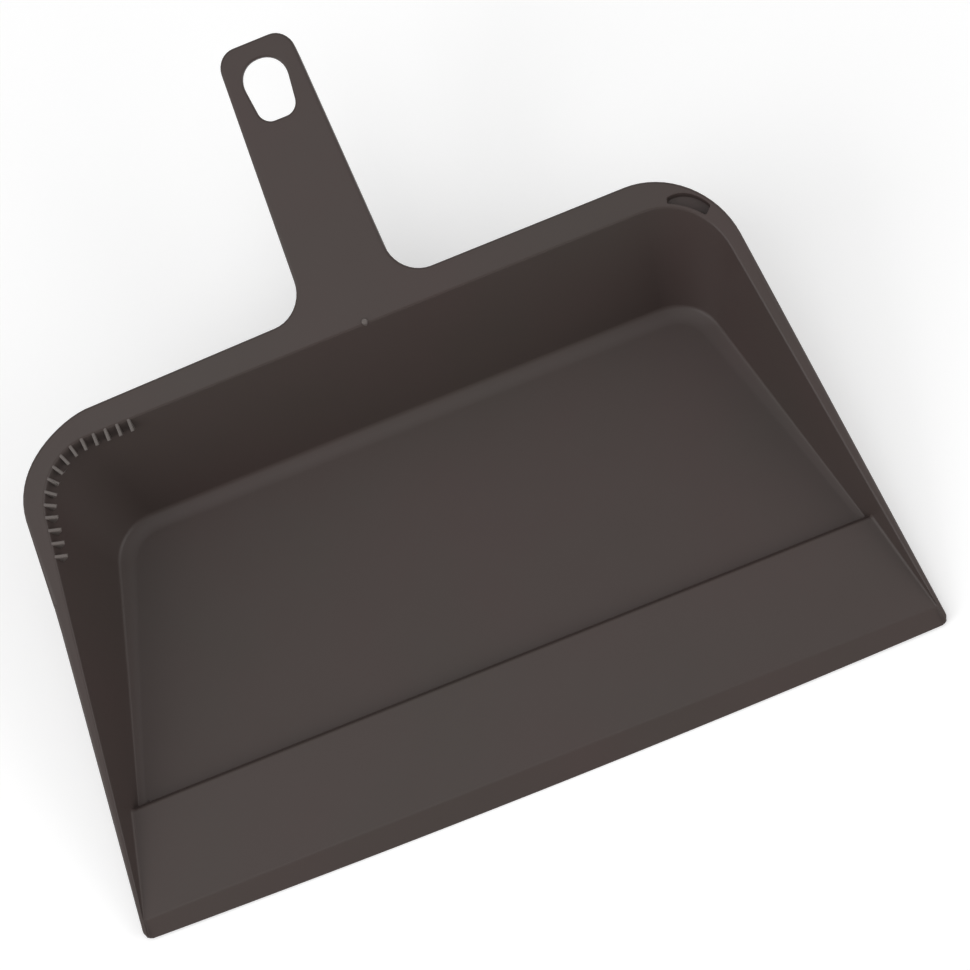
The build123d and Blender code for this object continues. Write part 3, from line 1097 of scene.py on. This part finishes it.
def rim_reach(base_y, normal_y):
    """How far outwards of its foot a wall's inner face meets the plane of the rim."""
    rise = rim_z(base_y) - floor_top
    return rise * WALL_LEAN / (1 - rim_rise * normal_y * WALL_LEAN)


def comb_station(along):
    """Foot of the left walls and the angle of their outward normal, counted from the first tooth."""
    bend = (CORNER_RADIUS + rim_reach(corner_y, 1)) * radians(90 - TAPER_ANGLE)
    past_rear = along - COMB_LEAD
    if past_rear <= 0:
        return Vector((-corner_x - past_rear, rear_base)), 90.0
    angle = 90 + min(past_rear / bend, 1) * (90 - TAPER_ANGLE)
    normal = heading(angle).xy
    onwards = Vector((-sin(SIDE_TAPER), -cos(SIDE_TAPER))) * max(past_rear - bend, 0)
    return Vector((-corner_x, corner_y)) + normal * CORNER_RADIUS + onwards, angle


def ease_tops():
    """Rounds the edges of the faces that lie along the plane of the rim."""
    pick("edges", lambda e, m: any(f.normal.dot(rim_normal) > SAME_WAY for f in e.link_faces))
    bpy.ops.mesh.bevel(affect="EDGES", offset=TOP_EASING * MM, segments=TOP_STEPS, profile=0.5)


fall = TOOTH_HEIGHT * WALL_LEAN
side_view = [
    (TOOTH_ROOT, TOOTH_REACH),
    (-TOOTH_REACH, TOOTH_REACH),
    (-TOOTH_REACH, -TOOTH_TIP),
    (-fall, -TOOTH_HEIGHT),
    (TOOTH_ROOT - fall, -TOOTH_HEIGHT),
]
first_tooth = start_piece("comb", Vector((side_view[0][0], 0, side_view[0][1])) * MM)
for u, w in side_view[1:]:
    draw_to(Vector((u, 0, w)) * MM)
pick_all()
bpy.ops.mesh.edge_face_add()
bpy.ops.transform.translate(value=(0, -TOOTH_THICKNESS / 2 * MM, 0))
stretch((0, TOOTH_THICKNESS, 0))
pick_all()
bpy.ops.mesh.normals_make_consistent(inside=False)
leave()

teeth = [first_tooth] + [copy_of(first_tooth) for i in range(1, TOOTH_COUNT)]
for i, tooth in enumerate(teeth):
    foot, angle = comb_station(i * TOOTH_PITCH)
    normal = heading(angle).xy
    edge = foot + normal * rim_reach(foot.y, normal.y)
    stand = Matrix.Translation(place(edge.x, edge.y, rim_z(edge.y)))
    tooth.matrix_world = stand @ Matrix.Rotation(radians(angle), 4, "Z")
select_only(*teeth)
bpy.ops.object.join()
bpy.ops.object.transform_apply(location=True, rotation=True, scale=True)
comb = bpy.context.object
enter()
pick_all()
cut(place(0, 0, rim_z(0) - COMB_SINK), rim_normal, drop_front=True, cap=True)
ease_tops()
leave()
finish_mesh(comb, SMALL_CREASE)
print("comb:", len(comb.data.polygons), "faces")

# %% [markdown]
# The mark of the gate, where the plastic ran into the mould, is a small stub on the inner edge
# of the rear rim. A painted dot would not catch the light, so it is a short cylinder that is cut
# off a little above the rim and eased.

# %% Gate mark
GATE_RADIUS = 1.1
GATE_HEIGHT = 0.6
GATE_STUB = 4.0
GATE_X = 0.8
GATE_Y = 168.7
bpy.ops.object.select_all(action="DESELECT")
bpy.ops.mesh.primitive_cylinder_add(vertices=24, radius=GATE_RADIUS * MM, depth=GATE_STUB * MM)
gate = bpy.context.object
gate.name = "gate_mark"
enter()
pick_all()
bpy.ops.transform.translate(value=place(GATE_X, GATE_Y, rim_z(GATE_Y)))
pick_all()
cut(place(0, 0, rim_z(0) + GATE_HEIGHT), rim_normal, drop_front=True, cap=True)
ease_tops()
leave()
finish_mesh(gate, SMALL_CREASE)
print("gate mark:", len(gate.data.polygons), "faces")

# %% [markdown]
# The plastic is a warm charcoal, neither black nor grey. Three things make it read as a moulding
# and not as paint: broad clouds of a slightly greener and a slightly redder tone, as regrind
# gives; a sheen that changes in patches, because the mould polishes some places; and a fine
# grain all over. Everything is laid out in the object's own coordinates, in metres.

# %% Look of the plastic
GREENER_TONE = (0.0595, 0.0470, 0.0420, 1)
REDDER_TONE = (0.0640, 0.0460, 0.0425, 1)
CLOUDS_PER_METRE = 14
PATCHES_PER_METRE = 60
GRAINS_PER_METRE = 2200
SHINIEST = 0.405
DULLEST = 0.445

plastic = bpy.data.materials.new("satin_charcoal")
plastic.use_nodes = True
nodes = plastic.node_tree.nodes
links = plastic.node_tree.links
shader = nodes["Principled BSDF"]
shader.inputs["Specular IOR Level"].default_value = 0.3
where = nodes.new("ShaderNodeTexCoord")


def noise(scale, detail, roughness=0.5):
    """Noise in the object's coordinates, with the given number of cells to a metre."""
    texture = nodes.new("ShaderNodeTexNoise")
    texture.inputs["Scale"].default_value = scale
    texture.inputs["Detail"].default_value = detail
    texture.inputs["Roughness"].default_value = roughness
    links.new(where.outputs["Object"], texture.inputs["Vector"])
    return texture


clouds = noise(CLOUDS_PER_METRE, 2)
tones = nodes.new("ShaderNodeValToRGB")
tones.color_ramp.elements[0].position = 0.3
tones.color_ramp.elements[0].color = GREENER_TONE
tones.color_ramp.elements[1].position = 0.7
tones.color_ramp.elements[1].color = REDDER_TONE
links.new(clouds.outputs["Fac"], tones.inputs["Fac"])
links.new(tones.outputs["Color"], shader.inputs["Base Color"])

patches = noise(PATCHES_PER_METRE, 4, 0.6)
sheen = nodes.new("ShaderNodeMapRange")
sheen.inputs["From Min"].default_value = 0.3
sheen.inputs["From Max"].default_value = 0.7
sheen.inputs["To Min"].default_value = SHINIEST
sheen.inputs["To Max"].default_value = DULLEST
links.new(patches.outputs["Fac"], sheen.inputs["Value"])
links.new(sheen.outputs["Result"], shader.inputs["Roughness"])

grain = noise(GRAINS_PER_METRE, 2)
bump = nodes.new("ShaderNodeBump")
bump.inputs["Strength"].default_value = 0.12
bump.inputs["Distance"].default_value = 0.0001
links.new(grain.outputs["Fac"], bump.inputs["Height"])
links.new(bump.outputs["Normal"], shader.inputs["Normal"])
print("plastic:", len(nodes), "nodes")

# %% [markdown]
# The comb's teeth and the stub of the gate are the same plastic, painted lighter as a highlight
# and made shinier. A copy of the material changes only its two tones and its sheen.

# %% The plastic with a painted highlight
HIGHLIGHT_GREENER_TONE = (0.1200, 0.1050, 0.0970, 1)
HIGHLIGHT_REDDER_TONE = (0.1300, 0.1090, 0.1010, 1)
HIGHLIGHT_SHINIEST = 0.3
HIGHLIGHT_DULLEST = 0.4

highlighted = plastic.copy()
highlighted.name = "highlighted_plastic"
for node in highlighted.node_tree.nodes:
    if node.type == "VALTORGB":
        node.color_ramp.elements[0].color = HIGHLIGHT_GREENER_TONE
        node.color_ramp.elements[1].color = HIGHLIGHT_REDDER_TONE
    if node.type == "MAP_RANGE":
        node.inputs["To Min"].default_value = HIGHLIGHT_SHINIEST
        node.inputs["To Max"].default_value = HIGHLIGHT_DULLEST
print("materials:", plastic.name, highlighted.name)

# %% [markdown]
# Every piece rides on the one body of the part, and the measured sections it stands for are hidden.
# The ribs and the webs under the handle stay as they were measured, in the same plastic.

# %% Pieces, sections and their plastic
# The comb and the gate mark get the lighter plastic, a painted highlight.
for piece, material in ((skin, plastic), (comb, highlighted), (gate, highlighted)):
    piece.data.materials.clear()
    piece.data.materials.append(material)
    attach(piece, "root")
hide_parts("comb_teeth")
for node in frame["nodes"].values():
    node.data.materials.clear()
    node.data.materials.append(plastic)

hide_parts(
    "pan_floor",
    "front_ramp",
    "rear_wall",
    "left_wall",
    "right_wall",
    "left_corner_wall",
    "right_corner_wall",
    "rear_rim",
    "left_rim",
    "right_rim",
    "left_corner_rim",
    "right_corner_rim",
    "rim_skirt",
    "handle_plate",
    "handle_skirt",
)
print("pieces:", skin.name, comb.name, gate.name)

# %% [markdown]
# The camera stands where the photograph was taken from: in front of the lip, high up, and rolled
# so that the lip runs to the lower right.

# %% Camera
AIM = Vector((19.0038, -31.8751, 30.0)) * MM
AZIMUTH = radians(6.3225)
ELEVATION = radians(70.4846)
ROLL = radians(-27.7838)
DISTANCE = 1244.2985 * MM
LENS = 127.88
SENSOR = 36
back = Vector((sin(AZIMUTH) * cos(ELEVATION), -cos(AZIMUTH) * cos(ELEVATION), sin(ELEVATION)))
right = Vector((cos(AZIMUTH), sin(AZIMUTH), 0))
up = back.cross(right)
turned_right = right * cos(ROLL) + up * sin(ROLL)
turned_up = up * cos(ROLL) - right * sin(ROLL)
bpy.ops.object.camera_add()
camera = bpy.context.object
turned = Matrix((turned_right, turned_up, back)).transposed().to_4x4()
camera.matrix_world = Matrix.Translation(AIM + back * DISTANCE) @ turned
camera.data.lens = LENS
camera.data.sensor_width = SENSOR
scene = bpy.context.scene
scene.camera = camera
print("camera:", [round(c, 3) for c in camera.matrix_world.translation])

# %% [markdown]
# The floor is white paper. It takes the pan's shadow as paper does, and a little light of its
# own, for the camera and for reflections only, lifts it to the white of the photograph.

# %% Paper floor
PAPER_SIZE = 8
PAPER_WHITE = (0.8, 0.8, 0.8, 1)
PAPER_GLOW = 0.36

scene.view_settings.view_transform = "Standard"
bpy.ops.mesh.primitive_plane_add(size=PAPER_SIZE)
floor = bpy.context.object
floor.name = "floor"
paper = bpy.data.materials.new("white_paper")
paper.use_nodes = True
nodes = paper.node_tree.nodes
links = paper.node_tree.links
nodes.clear()
output = nodes.new("ShaderNodeOutputMaterial")
diffuse = nodes.new("ShaderNodeBsdfDiffuse")
diffuse.inputs["Color"].default_value = PAPER_WHITE
glow = nodes.new("ShaderNodeEmission")
glow.inputs["Strength"].default_value = PAPER_GLOW
dark = nodes.new("ShaderNodeEmission")
dark.inputs["Strength"].default_value = 0
seen = nodes.new("ShaderNodeMixShader")
path = nodes.new("ShaderNodeLightPath")
looks = nodes.new("ShaderNodeMath")
looks.operation = "MAXIMUM"
any_look = nodes.new("ShaderNodeMath")
any_look.operation = "MAXIMUM"
both = nodes.new("ShaderNodeAddShader")
links.new(path.outputs["Is Camera Ray"], looks.inputs[0])
links.new(path.outputs["Is Glossy Ray"], looks.inputs[1])
links.new(looks.outputs[0], any_look.inputs[0])
links.new(path.outputs["Is Transmission Ray"], any_look.inputs[1])
links.new(any_look.outputs[0], seen.inputs["Fac"])
links.new(dark.outputs[0], seen.inputs[1])
links.new(glow.outputs[0], seen.inputs[2])
links.new(diffuse.outputs[0], both.inputs[0])
links.new(seen.outputs[0], both.inputs[1])
links.new(both.outputs[0], output.inputs["Surface"])
floor.data.materials.append(paper)
print("paper:", len(nodes), "nodes")

# %% [markdown]
# The light is a soft tent: an even, dim surround and six broad lamps, most of it from the sides
# and low down, so the walls don't sink into black, with a little more from the front left.

# %% Soft lamps
LAMPS = (
    ("overhead", 0, 90, 5.4),
    ("rear", 180, 55, 2.2),
    ("front_left", 300, 58, 5.8),
    ("front_right", 45, 25, 7.0),
    ("right", 75, 25, 9.0),
    ("left", 285, 25, 14.5),
)
LAMP_DISTANCE = 1.8
LAMP_SIZE = 1.6
SURROUND_GREY = (0.2, 0.2, 0.2, 1)
pan_middle = Vector((0, -0.02, 0.03))

world = bpy.data.worlds.new("surroundings")
scene.world = world
world.use_nodes = True
world.node_tree.nodes["Background"].inputs["Color"].default_value = SURROUND_GREY
for name, azimuth, elevation, watts in LAMPS:
    low = cos(radians(elevation))
    way = Vector((sin(radians(azimuth)) * low, -cos(radians(azimuth)) * low, sin(radians(elevation))))
    bpy.ops.object.light_add(
        type="AREA",
        location=pan_middle + way * LAMP_DISTANCE,
        rotation=way.to_track_quat("Z", "Y").to_euler(),
    )
    lamp = bpy.context.object
    lamp.name = name
    lamp.data.shape = "DISK"
    lamp.data.size = LAMP_SIZE
    lamp.data.energy = watts
print("lamps:", len(LAMPS))

# %% [markdown]
# Last, the box round the measured model is printed.

# %% Print the measured box and finish
print("measured box:", [round(c, 4) for c in (*cad_low, *cad_high)])
